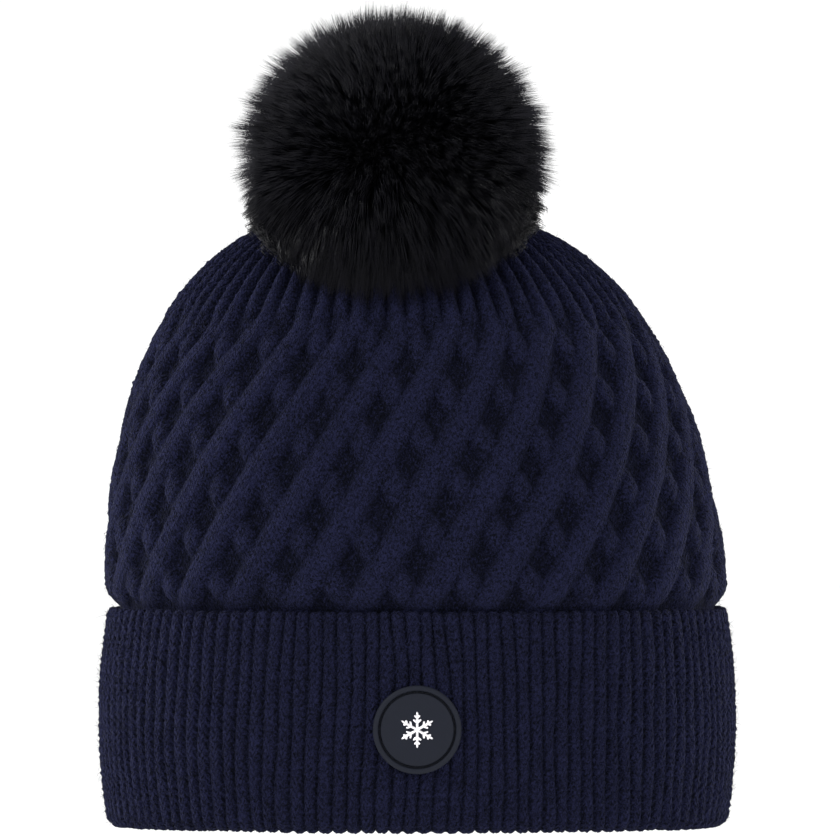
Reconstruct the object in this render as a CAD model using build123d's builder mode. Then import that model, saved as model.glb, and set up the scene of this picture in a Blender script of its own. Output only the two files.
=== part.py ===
"""Knitted winter beanie with a turn-up cuff and a faux-fur pom that unsnaps, in millimetres.

The hat stands open on the fold of its cuff. +Z is up, the face side is -Y and the ears are
on X. The origin is under the middle of the cuff, on the surface that the hat stands on.
"""

import os
from math import atan2, cos, degrees, pi, radians, sin

from build123d import *

os.makedirs("parts", exist_ok=True)

# ---- Knitted body ----
cuff_width = 229.0  # ear to ear, over the fullest part of the cuff
cuff_depth = 178.6  # forehead to nape, over the fullest part of the cuff
cuff_height = 79.0  # fold to cast-off edge
cuff_bow = 3.4  # how far the middle of the cuff stands out past its two edges
rib_ply = 3.2  # one thickness of ribbed knit
cast_off_radius = 1.2  # rounding of the cuff's upper edge
fold_radius = 2.6  # rounding of the fold that the hat stands on
crown_ear_ease = -0.1  # how far the crown stands out past the cuff's edge over each ear
crown_brow_ease = 0.6  # the same over the forehead and the nape
crown_rise = 138.0  # cast-off edge of the cuff to the gathered top
crown_wall = 4.5  # cable knit, ridges and valleys averaged
crown_fullness = 0.34  # power of the crown's outline from the front; smaller is squarer
crown_side_fullness = 0.5  # the same from the side, where the crown is rounder
crown_tip = 4.0  # how far above the gathered top the crown's outline would close
crown_lean = -6.5  # sideways shift of the gathered top
crown_lap = 0.6  # air between the cuff's cast-off edge and the crown above it
crown_roll = 1.5  # rounding of the crown's lower edge
crown_sections = 9
cuff_sections = 5
tuck_depth = 3.0  # how far the crown's neck reaches down inside the cuff
ply_gap = 0.3  # clearance between layers of cloth

# ---- Lining, label and sewing thread ----
fleece_ply = 2.0
lining_low = 9.0  # lower edge of the fleece band
lining_margin = 8.0  # rib left bare above the fleece band
lining_stitch_count = 44
stitch_length = 4.0
stitch_width = 0.9
stitch_proud = 0.5  # how far a stitch stands off the cloth that it holds
thread_gap = 0.1  # clearance between a stitch and the cloth beside it
label_width = 22.0
label_drop = 34.0
label_cloth = 0.6
label_margin = 6.0  # fleece above the label's sewn edge
label_tack_count = 3
seam_stitch_count = 14

# ---- Badge on the cuff ----
badge_diameter = 31.5
badge_height = 37.4  # centre of the badge above the fold
badge_face = 1.5  # thickness of the badge at its face
badge_rim_width = 1.7
badge_rim_proud = 0.6
badge_groove_land = 0.05  # flat between the sewn groove and the rim
badge_groove_width = 1.2
badge_groove_depth = 0.5
badge_stitch_count = 40
badge_stitch_length = 1.6
badge_stitch_width = 0.6
badge_stitch_proud = 0.3
emblem_size = 13.0
emblem_bar = 0.9
emblem_proud = 0.4

# ---- Snap fastener and crown top ----
part_gap = 0.3  # clearance between a fitting and what it lies on
crown_hole = 3.0  # radius of the hole that the gathered top closes to
felt_radius = 14.0
felt_ply = 1.5
gather_ring_radius = 17.0
gather_thread_radius = 0.8
stud_flange_radius = 7.5
flange_plate = 0.8
stud_neck_radius = 2.2
stud_bead_radius = 3.0
stud_bead_height = 2.4
stud_neck_height = 1.1
stud_shank_radius = 2.0
shank_gap = 0.05  # running clearance round a shank
washer_radius = 6.0
spring_wire = 0.5  # radius of the snap's spring wire
spring_gap = 0.4  # clearance between the bead and the open spring
socket_radius = 7.5
socket_lift_gap = 0.6  # air between the stud's flange and the socket
socket_height = 4.4
socket_plate = 0.8  # lip and roof of the socket
cap_shank_radius = 1.5
cap_radius = 5.0

# ---- Pom ----
pom_diameter = 114.0
pom_rise = 78.0  # gathered top of the crown to the highest fur
lean_gap = 1.9  # air between the socket and the disc that tips above it
cap_gap = 1.4  # air between the disc and the rivet cap above it
base_disc_radius = 16.0
base_disc_plate = 1.5
base_disc_hole = 2.3
pouch_radius = 22.0
pouch_ply = 1.5
pouch_seat = 19.0  # pouch centre above its flattened underside
pouch_mouth = 7.0
drawstring_radius = 8.7
drawstring_wire = 0.7
stuffing_pocket = 10.5  # radius of the hollow that the rivet cap stands in

# ---- Heights and half sizes that follow ----
edge_half_width = cuff_width / 2 - cuff_bow
edge_half_depth = cuff_depth / 2 - cuff_bow
neck_inset = rib_ply + ply_gap
lining_inset = neck_inset + rib_ply + ply_gap
opening_inset = lining_inset + fleece_ply
fold_floor = rib_ply
rib_low = fold_floor + ply_gap
rib_high = cuff_height - tuck_depth
lining_high = rib_high - lining_margin
label_top = lining_high - label_margin
badge_radius = badge_diameter / 2
badge_groove_radius = badge_radius - badge_rim_width - badge_groove_land - badge_groove_width / 2
crown_half_width = edge_half_width + crown_ear_ease
crown_half_depth = edge_half_depth + crown_brow_ease
crown_low = cuff_height + crown_lap
crown_floor = crown_low + rib_ply
crown_top = cuff_height + crown_rise
cloth_under_top = crown_top - crown_wall
felt_high = cloth_under_top - part_gap
felt_low = felt_high - felt_ply
washer_high = felt_low - part_gap
washer_low = washer_high - flange_plate
stud_low = crown_top + part_gap
flange_high = stud_low + flange_plate
neck_high = flange_high + stud_neck_height
bead_high = neck_high + stud_bead_height
socket_low = flange_high + socket_lift_gap
socket_high = socket_low + socket_height
spring_ring_radius = stud_bead_radius + spring_gap + spring_wire
socket_cavity_radius = spring_ring_radius + spring_wire + spring_gap
disc_low = socket_high + lean_gap
disc_high = disc_low + base_disc_plate
cap_low = disc_high + cap_gap
cap_high = cap_low + flange_plate
pouch_low = disc_high + part_gap
pouch_centre = pouch_low + pouch_seat
fur_low = disc_low - part_gap
pom_top = crown_top + pom_rise
pom_centre = pom_top - pom_diameter / 2

# ---- Working planes and axes ----
stack_plane = Plane(origin=(crown_lean, 0, 0), x_dir=(1, 0, 0), z_dir=(0, -1, 0))
stack_axis = Axis((crown_lean, 0, 0), (0, 0, 1))
badge_plane = Plane(origin=(0, 0, badge_height), x_dir=(1, 0, 0), z_dir=(0, -1, 0))


def oval(height, inset, bow=0.0):
    """Oval of the cuff's edge at a height, drawn in by an inset and pushed out by a bow."""
    with BuildSketch(Plane.XY.offset(height)) as section:
        Ellipse(edge_half_width - inset + bow, edge_half_depth - inset + bow)
    return section.sketch


def cuff_walls(low, high, inset):
    """Ovals up the bowed wall of the cuff, from one height to another."""
    heights = [low + (high - low) * step / (cuff_sections - 1) for step in range(cuff_sections)]
    bows = [cuff_bow * (1 - (2 * height / cuff_height - 1) ** 2) for height in heights]
    return [oval(height, inset, bow) for height, bow in zip(heights, bows)]


def lean_at(height):
    """Sideways shift of the crown at a height above the standing surface."""
    return crown_lean * max(0.0, height - cuff_height) / crown_rise


def crown_share(height, wall, fullness):
    """Share of its full size that the crown's outline has at a height."""
    rise = (height - cuff_height) / (crown_rise + crown_tip - wall)
    return (1 - rise**2) ** fullness


def crown_walls(low, high, wall):
    """Ovals up the crown, closer together towards the gathered top."""
    sections = []
    for step in range(crown_sections):
        height = low + (high - low) * sin(pi / 2 * step / (crown_sections - 1))
        half_width = (crown_half_width - wall) * crown_share(height, wall, crown_fullness)
        half_depth = (crown_half_depth - wall) * crown_share(height, wall, crown_side_fullness)
        with BuildSketch(Plane.XY.offset(height)) as section:
            with Locations((lean_at(height), 0)):
                Ellipse(half_width, half_depth)
        sections.append(section.sketch)
    return sections


def badge_y(across, proud):
    """Place on Y of a point on the badge, from its place on X and its distance off the cuff."""
    half_width = edge_half_width + cuff_bow + proud
    return -(edge_half_depth + cuff_bow + proud) * (1 - (across / half_width) ** 2) ** 0.5


def badge_layer(inner, outer):
    """Layer of the badge between two distances out from the fullest part of the cuff."""
    low = badge_height - badge_diameter
    with BuildPart() as layer:
        extrude(oval(low, -outer, cuff_bow), amount=2 * badge_diameter)
        extrude(oval(low, -inner, cuff_bow), amount=2 * badge_diameter, mode=Mode.SUBTRACT)
        split(bisect_by=Plane.XZ, keep=Keep.TOP)
    return layer.part


def badge_ring(inner_radius, outer_radius, inner, outer):
    """Ring or disc of the badge between two radii and two distances out from the cuff."""
    with BuildPart() as ring:
        with BuildSketch(badge_plane):
            Circle(outer_radius)
            if inner_radius > 0:
                Circle(inner_radius, mode=Mode.SUBTRACT)
        extrude(amount=cuff_depth)
        add(badge_layer(inner, outer), mode=Mode.INTERSECT)
    return ring.part


def turned(profile_points):
    """Solid turned about the snap's axis from corner points (radius, height)."""
    with BuildPart() as piece:
        with BuildSketch(stack_plane):
            with BuildLine():
                Polyline(*profile_points, close=True)
            make_face()
        revolve(axis=stack_axis)
    return piece.part


def pouch_ball(radius, floor):
    """Ball round the middle of the pom's pouch, cut flat at a height."""
    with BuildPart() as ball:
        with Locations((crown_lean, 0, pouch_centre)):
            Sphere(radius)
        split(bisect_by=Plane.XY.offset(floor), keep=Keep.TOP)
    return ball.part


def thread_ring(radius, wire, height):
    """Ring of thread or wire about the snap's axis."""
    with BuildPart() as ring:
        with BuildSketch(stack_plane):
            with Locations((radius, height)):
                Circle(wire)
        revolve(axis=stack_axis)
    return ring.part


def stitch_row(count, height, half_width, half_depth):
    """Row of upright stitches round an oval, each turned to face its middle."""
    with BuildPart() as row:
        for number in range(count):
            turn = 2 * pi * (number + 0.5) / count
            x, y = half_width * cos(turn), half_depth * sin(turn)
            facing = degrees(atan2(half_width * sin(turn), half_depth * cos(turn)))
            with Locations(Location((x, y, height), (0, 0, facing))):
                Box(stitch_proud, stitch_width, stitch_length)
    return row.part


# ---- Knitted body ----
with BuildPart() as rib_band:
    extrude(oval(rib_low, neck_inset), amount=rib_high - rib_low)
    extrude(
        oval(rib_low, neck_inset + rib_ply), amount=rib_high - rib_low, mode=Mode.SUBTRACT
    )
rib_band.part.label = "rib_band"

with BuildPart() as cuff_turn_up:
    loft(sections=cuff_walls(0, cuff_height, 0))
    loft(sections=cuff_walls(fold_floor, cuff_height, rib_ply), mode=Mode.SUBTRACT)
    extrude(oval(0, neck_inset + rib_ply), amount=fold_floor, mode=Mode.SUBTRACT)
    fillet(cuff_turn_up.faces().sort_by(Axis.Z)[0].edges(), radius=fold_radius)
    fillet(cuff_turn_up.faces().sort_by(Axis.Z)[-1].edges(), radius=cast_off_radius)
cuff_turn_up.part.label = "cuff_turn_up"

with BuildPart() as crown_shell:
    loft(sections=crown_walls(crown_low, crown_top, 0))
    fillet(crown_shell.faces().sort_by(Axis.Z)[0].edges(), radius=crown_roll)
    loft(sections=crown_walls(crown_floor, cloth_under_top, crown_wall), mode=Mode.SUBTRACT)
    extrude(oval(rib_high + ply_gap, neck_inset), amount=crown_floor - rib_high - ply_gap)
    extrude(
        oval(rib_high, neck_inset + rib_ply), amount=crown_floor - rib_high, mode=Mode.SUBTRACT
    )
    with Locations((crown_lean, 0, crown_top)):
        Hole(crown_hole, depth=crown_wall)
crown_shell.part.label = "crown_shell"

with BuildPart() as back_seam_thread:
    for number in range(seam_stitch_count):
        height = crown_floor + (cloth_under_top - crown_floor) * (number + 1) / (
            seam_stitch_count + 5
        )
        share = crown_share(height + stitch_length / 2, crown_wall, crown_side_fullness)
        inside = (crown_half_depth - crown_wall) * share
        with Locations((lean_at(height), inside - thread_gap - stitch_proud / 2, height)):
            Box(stitch_width, stitch_proud, stitch_length)
back_seam_thread.part.label = "back_seam_thread"

# ---- Lining and label ----
with BuildPart() as lining_band:
    extrude(oval(lining_low, lining_inset), amount=lining_high - lining_low)
    extrude(
        oval(lining_low, opening_inset), amount=lining_high - lining_low, mode=Mode.SUBTRACT
    )
lining_band.part.label = "lining_band"

stitch_inset = opening_inset + thread_gap + stitch_proud / 2
with BuildPart() as lining_stitches:
    for height in (lining_low + stitch_length / 2, lining_high - stitch_length / 2):
        add(
            stitch_row(
                lining_stitch_count,
                height,
                edge_half_width - stitch_inset,
                edge_half_depth - stitch_inset,
            )
        )
lining_stitches.part.label = "lining_stitches"

# The lining curves away from a flat label by this much at the label's sides.
label_clear = (edge_half_depth - opening_inset) * (
    1 - (1 - (label_width / 2 / (edge_half_width - opening_inset)) ** 2) ** 0.5
)
label_back = edge_half_depth - opening_inset - label_clear - part_gap
with BuildPart() as care_label:
    with Locations((0, label_back - label_cloth / 2, label_top - label_drop / 2)):
        Box(label_width, label_cloth, label_drop)
care_label.part.label = "care_label"

with BuildPart() as label_tack:
    with Locations((0, label_back - label_cloth / 2, label_top + 2 * part_gap + stitch_length / 4)):
        with GridLocations(label_width / label_tack_count, 0, label_tack_count, 1):
            Box(label_width / label_tack_count / 2, stitch_proud, stitch_length / 2)
label_tack.part.label = "label_tack"

# ---- Badge ----
badge_back = ply_gap
badge_front = badge_back + badge_face
badge_crest = badge_front + badge_rim_proud
with BuildPart() as badge_disc:
    add(badge_ring(0, badge_radius, badge_back, badge_front))
    add(badge_ring(badge_radius - badge_rim_width, badge_radius, badge_back, badge_crest))
    add(
        badge_ring(
            badge_groove_radius - badge_groove_width / 2,
            badge_groove_radius + badge_groove_width / 2,
            badge_front - badge_groove_depth,
            badge_crest,
        ),
        mode=Mode.SUBTRACT,
    )
badge_disc.part.label = "badge_disc"

groove_floor = badge_front - badge_groove_depth + 2 * thread_gap
with BuildPart() as badge_stitching:
    for number in range(badge_stitch_count):
        turn = 2 * pi * (number + 0.5) / badge_stitch_count
        across, up = badge_groove_radius * cos(turn), badge_groove_radius * sin(turn)
        seat = Plane(
            origin=(across, badge_y(across, groove_floor), badge_height + up),
            x_dir=(-sin(turn), 0, cos(turn)),
            z_dir=(0, -1, 0),
        )
        with BuildSketch(seat):
            SlotOverall(badge_stitch_length, badge_stitch_width)
        extrude(amount=badge_stitch_proud)
badge_stitching.part.label = "badge_stitching"

# A snowflake of three crossed bars, each end with a pair of short twigs.
with BuildPart() as badge_emblem:
    with BuildSketch(badge_plane):
        for turn in range(0, 180, 60):
            Rectangle(emblem_bar, emblem_size, rotation=turn)
        for turn in range(0, 360, 60):
            for side in (-1, 1):
                twig_foot = emblem_size * 0.26
                twig_length = emblem_size * 0.2
                spread = radians(45)
                middle = (
                    side * sin(spread) * twig_length / 2,
                    twig_foot + cos(spread) * twig_length / 2,
                )
                reach = radians(turn)
                with Locations(
                    (
                        middle[0] * cos(reach) - middle[1] * sin(reach),
                        middle[0] * sin(reach) + middle[1] * cos(reach),
                    )
                ):
                    Rectangle(emblem_bar * 0.8, twig_length, rotation=turn - side * 45)
    extrude(amount=cuff_depth)
    add(
        badge_layer(badge_front + thread_gap, badge_front + thread_gap + emblem_proud),
        mode=Mode.INTERSECT,
    )
badge_emblem.part.label = "badge_emblem"

# ---- Gathered top and snap ----
with BuildPart() as crown_felt:
    add(
        turned(
            [
                (crown_hole, felt_low),
                (felt_radius, felt_low),
                (felt_radius, felt_high),
                (crown_hole, felt_high),
            ]
        )
    )
crown_felt.part.label = "crown_felt"

with BuildPart() as crown_gather_thread:
    add(
        thread_ring(
            gather_ring_radius,
            gather_thread_radius,
            cloth_under_top - part_gap - gather_thread_radius,
        )
    )
crown_gather_thread.part.label = "crown_gather_thread"

with BuildPart() as snap_stud:
    with BuildSketch(stack_plane):
        with BuildLine():
            Polyline(
                (0, washer_low),
                (stud_shank_radius, washer_low),
                (stud_shank_radius, stud_low),
                (stud_flange_radius, stud_low),
                (stud_flange_radius, flange_high),
                (stud_neck_radius, flange_high),
                (stud_neck_radius, neck_high),
            )
            Spline(
                (stud_neck_radius, neck_high),
                (stud_bead_radius, neck_high + stud_bead_height / 2),
                (0, bead_high),
                tangents=[(1, 0.3), (-1, 0)],
            )
            Line((0, bead_high), (0, washer_low))
        make_face()
    revolve(axis=stack_axis)
snap_stud.part.label = "snap_stud"

with BuildPart() as stud_washer:
    add(
        turned(
            [
                (stud_shank_radius + shank_gap, washer_low),
                (washer_radius, washer_low),
                (washer_radius, washer_high),
                (stud_shank_radius + shank_gap, washer_high),
            ]
        )
    )
stud_washer.part.label = "stud_washer"

spring_height = (socket_low + socket_high) / 2
with BuildPart() as snap_spring:
    add(thread_ring(spring_ring_radius, spring_wire, spring_height))
snap_spring.part.label = "snap_spring"

mouth_radius = stud_bead_radius + spring_gap
with BuildPart() as snap_socket:
    add(
        turned(
            [
                (mouth_radius, socket_low),
                (socket_radius, socket_low),
                (socket_radius, socket_high),
                (cap_shank_radius + shank_gap, socket_high),
                (cap_shank_radius + shank_gap, socket_high - socket_plate),
                (socket_cavity_radius, socket_high - socket_plate),
                (socket_cavity_radius, socket_low + socket_plate),
                (mouth_radius, socket_low + socket_plate),
            ]
        )
    )
snap_socket.part.label = "snap_socket"

with BuildPart() as socket_rivet:
    add(
        turned(
            [
                (0, socket_high - socket_plate),
                (cap_shank_radius, socket_high - socket_plate),
                (cap_shank_radius, cap_low),
                (cap_radius, cap_low),
                (cap_radius, cap_high),
                (0, cap_high),
            ]
        )
    )
socket_rivet.part.label = "socket_rivet"

# ---- Pom ----
with BuildPart() as pom_base_disc:
    add(
        turned(
            [
                (base_disc_hole, disc_low),
                (base_disc_radius, disc_low),
                (base_disc_radius, disc_high),
                (base_disc_hole, disc_high),
            ]
        )
    )
pom_base_disc.part.label = "pom_base_disc"

with BuildPart() as pom_backing:
    add(pouch_ball(pouch_radius, pouch_low))
    add(pouch_ball(pouch_radius - pouch_ply, pouch_low + pouch_ply), mode=Mode.SUBTRACT)
    with Locations((crown_lean, 0, pouch_low + pouch_ply)):
        Hole(pouch_mouth, depth=pouch_ply)
pom_backing.part.label = "pom_backing"

inside_pouch = pouch_low + pouch_ply + part_gap
drawstring_height = inside_pouch + drawstring_wire
with BuildPart() as pom_drawstring:
    add(thread_ring(drawstring_radius, drawstring_wire, drawstring_height))
pom_drawstring.part.label = "pom_drawstring"

# The stuffing stands clear of the drawstring and of the rivet's head.
pocket_roof = max(drawstring_height + drawstring_wire, cap_high) + 2 * part_gap
with BuildPart() as pom_stuffing:
    add(pouch_ball(pouch_radius - pouch_ply - part_gap, inside_pouch))
    with Locations((crown_lean, 0, inside_pouch)):
        Cylinder(stuffing_pocket, 2 * (pocket_roof - inside_pouch), mode=Mode.SUBTRACT)
pom_stuffing.part.label = "pom_stuffing"

with BuildPart() as pom_fur_pile:
    with BuildSketch(stack_plane):
        with Locations((0, pom_centre)):
            Circle(pom_diameter / 2)
        with Locations((pom_diameter / 2, fur_low + pom_diameter / 2)):
            Rectangle(pom_diameter, pom_diameter, mode=Mode.INTERSECT)
        with Locations((0, pouch_centre)):
            Circle(pouch_radius + part_gap, mode=Mode.SUBTRACT)
        with Locations((0, fur_low)):
            Rectangle(
                2 * (base_disc_radius + part_gap),
                2 * (pouch_centre - fur_low),
                mode=Mode.SUBTRACT,
            )
    revolve(axis=stack_axis)
pom_fur_pile.part.label = "pom_fur_pile"

for piece in (
    rib_band,
    cuff_turn_up,
    crown_shell,
    back_seam_thread,
    lining_band,
    lining_stitches,
    care_label,
    label_tack,
    badge_disc,
    badge_stitching,
    badge_emblem,
    crown_felt,
    crown_gather_thread,
    snap_stud,
    stud_washer,
    snap_spring,
    snap_socket,
    socket_rivet,
    pom_base_disc,
    pom_backing,
    pom_drawstring,
    pom_stuffing,
    pom_fur_pile,
):
    export_step(piece.part, f"parts/{piece.part.label}.step")
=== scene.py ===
"""Finished look of a ribbed, cable-knit pom pom beanie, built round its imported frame."""

import math

import bpy
import numpy as np
from bpy.props import FloatProperty, FloatVectorProperty, IntProperty, PointerProperty
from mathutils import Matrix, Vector


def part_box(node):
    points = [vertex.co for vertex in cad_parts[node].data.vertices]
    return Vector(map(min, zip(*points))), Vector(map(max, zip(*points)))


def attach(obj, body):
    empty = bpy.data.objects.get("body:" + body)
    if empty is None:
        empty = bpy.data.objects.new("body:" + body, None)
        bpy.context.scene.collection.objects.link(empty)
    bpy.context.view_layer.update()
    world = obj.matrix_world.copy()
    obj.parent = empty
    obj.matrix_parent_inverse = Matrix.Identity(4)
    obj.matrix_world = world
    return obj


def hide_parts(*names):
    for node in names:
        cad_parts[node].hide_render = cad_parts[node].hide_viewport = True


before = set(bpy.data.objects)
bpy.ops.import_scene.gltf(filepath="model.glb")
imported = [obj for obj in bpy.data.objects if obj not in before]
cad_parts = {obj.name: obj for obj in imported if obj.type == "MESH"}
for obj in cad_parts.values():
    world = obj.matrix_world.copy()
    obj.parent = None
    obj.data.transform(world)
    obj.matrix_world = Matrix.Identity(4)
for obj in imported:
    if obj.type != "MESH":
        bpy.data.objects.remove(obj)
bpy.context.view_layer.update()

bl_info = {
    "name": "Pom pom beanie",
    "version": (1, 0, 0),
    "blender": (4, 5, 0),
    "location": "3D View > Sidebar > Beanie",
    "description": "Knits the crown and cuff, dresses the snap and badge, and grows the fur pom",
    "category": "Add Mesh",
}

MM = 0.001
TURN = 2 * math.pi


# ---- Places that follow from the frame ----
def span(node_name):
    """Middle and half size of a node's box, in metres."""
    low, high = (np.array(corner, float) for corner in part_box(node_name))
    return (low + high) / 2, (high - low) / 2


RIB_PLY = 3.2 * MM  # thickness of one layer of ribbed knit
PLY_GAP = 0.3 * MM  # clearance between two layers of cloth
CUFF_LIP = 1.4 * MM  # height of the cuff's rounded cast-off edge
CROWN_WALL = 4.5 * MM  # thickness of the cable knit
CROWN_FULLNESS = 0.34  # power of the crown's outline seen from the front
CROWN_SIDE_FULLNESS = 0.5  # the same seen from the side
CROWN_TIP = 4.0 * MM  # how far above the gathered top the crown's outline would close
BADGE_FACE = 1.5 * MM  # thickness of the badge at its face
FUR_REACH = np.array([59.5, 59.5, 55.5]) * MM  # half sizes of the ball that the fur makes

CUFF_MIDDLE, CUFF_HALF = span("cuff_turn_up")
RIB_MIDDLE, RIB_HALF = span("rib_band")
CROWN_MIDDLE, CROWN_HALF = span("crown_shell")
LINING_MIDDLE, LINING_HALF = span("lining_band")
LABEL_MIDDLE, LABEL_HALF = span("care_label")
BADGE_MIDDLE, BADGE_HALF = span("badge_disc")
STUD_MIDDLE, _ = span("snap_stud")
POUCH_MIDDLE, POUCH_HALF = span("pom_backing")
FUR_MIDDLE, FUR_HALF = span("pom_fur_pile")
DISC_MIDDLE, DISC_HALF = span("pom_base_disc")

EDGE_HALF = RIB_HALF[:2] + RIB_PLY + PLY_GAP  # half size of the cuff at its two edges
CUFF_BOW = CUFF_HALF[0] - EDGE_HALF[0]  # how far the cuff's middle stands out
CUFF_TOP = CUFF_MIDDLE[2] + CUFF_HALF[2]
CROWN_TOP = CROWN_MIDDLE[2] + CROWN_HALF[2]
CROWN_NECK = CROWN_MIDDLE[2] - CROWN_HALF[2]
CROWN_RISE = CROWN_TOP - CUFF_TOP
CROWN_LEAN = STUD_MIDDLE[0]
DISC_TOP = DISC_MIDDLE[2] + DISC_HALF[2]
# The fur's ball sits over the snap, a little to the left and front.
BALL_MIDDLE = np.array([CROWN_LEAN - 2.0 * MM, -3.0 * MM, FUR_MIDDLE[2] + FUR_HALF[2] - 53.5 * MM])


def linear(code):
    """Linear colour of an sRGB hex code."""
    channels = [int(code[i : i + 2], 16) / 255 for i in (1, 3, 5)]
    return [c / 12.92 if c <= 0.04045 else ((c + 0.055) / 1.055) ** 2.4 for c in channels]


def colour(name, description, code):
    """Colour property with its default from an sRGB hex code."""
    return FloatVectorProperty(
        name=name, description=description, subtype="COLOR", min=0, max=1, default=linear(code)
    )


def length(name, description, default):
    """Length property, in metres."""
    return FloatProperty(
        name=name, description=description, default=default, min=0, unit="LENGTH", precision=5
    )


def whole(name, description, default, least):
    """Whole-number property."""
    return IntProperty(name=name, description=description, default=default, min=least)


# ---- Settings ----
class BeanieKnit(bpy.types.PropertyGroup):
    """Sizes and colours of the knitting."""

    ribs: whole("Ribs", "Ribs round the cuff", 123, 20)
    rib_relief: length("Rib relief", "Height of a rib over its groove", 1.8 * MM)
    course: length("Course", "Height of one row of stitches", 2.7 * MM)
    cables: whole("Cables", "Cables that lean each way, round the crown", 27, 8)
    cable_relief: length("Cable relief", "Height of a cable over the ground", 3.8 * MM)
    gathers: whole("Gathers", "Pleats under the pom", 66, 8)
    cell_height: length("Cell height", "Height of one lattice diamond, cross to cross", 34.5 * MM)
    # Painted light: the ridge colour is the wool as lit on the ridges, and the valley colour is
    # painted shade in the grooves.
    lit_ridge_colour: colour("Ridges", "Wool on the ridges, which the light catches", "#1b1d35")
    shaded_valley_colour: colour("Valleys", "Wool down in the grooves", "#05060c")
    fuzz_colour: colour("Fuzz", "Loose fibres that stand off the wool", "#15172b")
    lining_colour: colour("Lining", "Brushed fleece band", "#191b2c")
    label_colour: colour("Label", "Woven label tape", "#d8d6d0")


class BeaniePom(bpy.types.PropertyGroup):
    """Sizes and colours of the fur pom."""

    strands: whole("Strands", "Strands in each piece", 12000, 100)
    groups: whole("Groups", "Pieces that the fur is split into", 5, 1)
    pile: length("Pile", "Length of the visible pile", 27 * MM)
    hang: length("Hang", "How far the fur reaches over the front and the back", 65 * MM)
    strand_width: length("Strand width", "Width of a strand at its thickest", 0.26 * MM)
    # Painted light: the root colour is painted shade deep in the pile, and the paler tip colour is
    # painted sheen.
    shaded_root_colour: colour("Roots", "Fur near the pouch", "#000102")
    sheen_tip_colour: colour("Tips", "Fur at its tips", "#15141d")


class BeanieTrim(bpy.types.PropertyGroup):
    """Colours of the badge, the snap and the thread."""

    rubber_colour: colour("Badge", "Moulded rubber badge", "#11141d")
    silver_colour: colour("Emblem", "Silver transfer on the badge", "#e6e4e8")
    metal_colour: colour("Snap", "Black-nickel plated snap", "#6f7076")
    thread_colour: colour("Thread", "Sewing thread", "#12131f")


# ---- Mesh helpers ----
def joined(*parts):
    """Points, or faces, from one array or number for each of their coordinates or corners."""
    return np.stack(np.broadcast_arrays(*parts), axis=-1)


def unit(vectors):
    """Vectors scaled to a length of 1. One of no length stays as it is."""
    return vectors / (np.linalg.norm(vectors, axis=-1, keepdims=True) + 1e-12)


def travelled(x, y):
    """Length along a line of points, from its start to each point."""
    return np.concatenate([[0], np.cumsum(np.hypot(np.diff(x), np.diff(y)))])


def make_mesh(name, points, faces, smooth=True):
    """Mesh object from an array of points and a list of face arrays, one array for each size."""
    mesh = bpy.data.meshes.new(name)
    points = np.asarray(points, np.float32).reshape(-1, 3)
    sizes = np.concatenate([np.full(len(part), part.shape[1]) for part in faces])
    corners = np.concatenate([part.ravel() for part in faces]).astype(np.int32)
    mesh.vertices.add(len(points))
    mesh.vertices.foreach_set("co", points.ravel())
    mesh.loops.add(len(corners))
    mesh.loops.foreach_set("vertex_index", corners)
    mesh.polygons.add(len(sizes))
    starts = np.concatenate([[0], np.cumsum(sizes)[:-1]]).astype(np.int32)
    mesh.polygons.foreach_set("loop_start", starts)
    mesh.polygons.foreach_set("use_smooth", np.full(len(sizes), smooth))
    mesh.update(calc_edges=True)
    mesh.validate()
    made = bpy.data.objects.new(name, mesh)
    bpy.context.scene.collection.objects.link(made)
    return made


def surface(name, points, along=True, poles=False, caps=False, uv=None):
    """Mesh of quads over a grid of points whose columns close on themselves.

    The rows close too where along is set. Else two poles close the first and last rows with
    a fan from their middles, or two caps close them with one face each. uv is the size of
    the whole grid in stitches, so a corner's place is its row and column share of it.
    """
    rows, columns = points.shape[:2]
    row = np.arange(rows if along else rows - 1)[:, None]
    column = np.arange(columns)
    after = (column + 1) % columns
    here, above = row * columns, (row + 1) % rows * columns
    faces = [joined(here + column, here + after, above + after, above + column).reshape(-1, 4)]
    flat = points.reshape(-1, 3)
    final = (rows - 1) * columns
    if poles:
        pole = len(flat)
        flat = np.concatenate([flat, [points[0].mean(0), points[-1].mean(0)]])
        faces += [joined(pole, after, column), joined(pole + 1, final + column, final + after)]
    if caps:
        faces.append(np.stack([column[::-1], final + column]))
    made = make_mesh(name, flat, faces)
    if uv is not None:
        u = joined(column, column + 1, column + 1, column) / columns * uv[0]
        v = joined(row, row, row + 1, row + 1) / rows * uv[1]
        table = joined(u, v).astype(np.float32)
        made.data.uv_layers.new(name="knit").data.foreach_set("uv", table.ravel())
    return made


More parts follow.
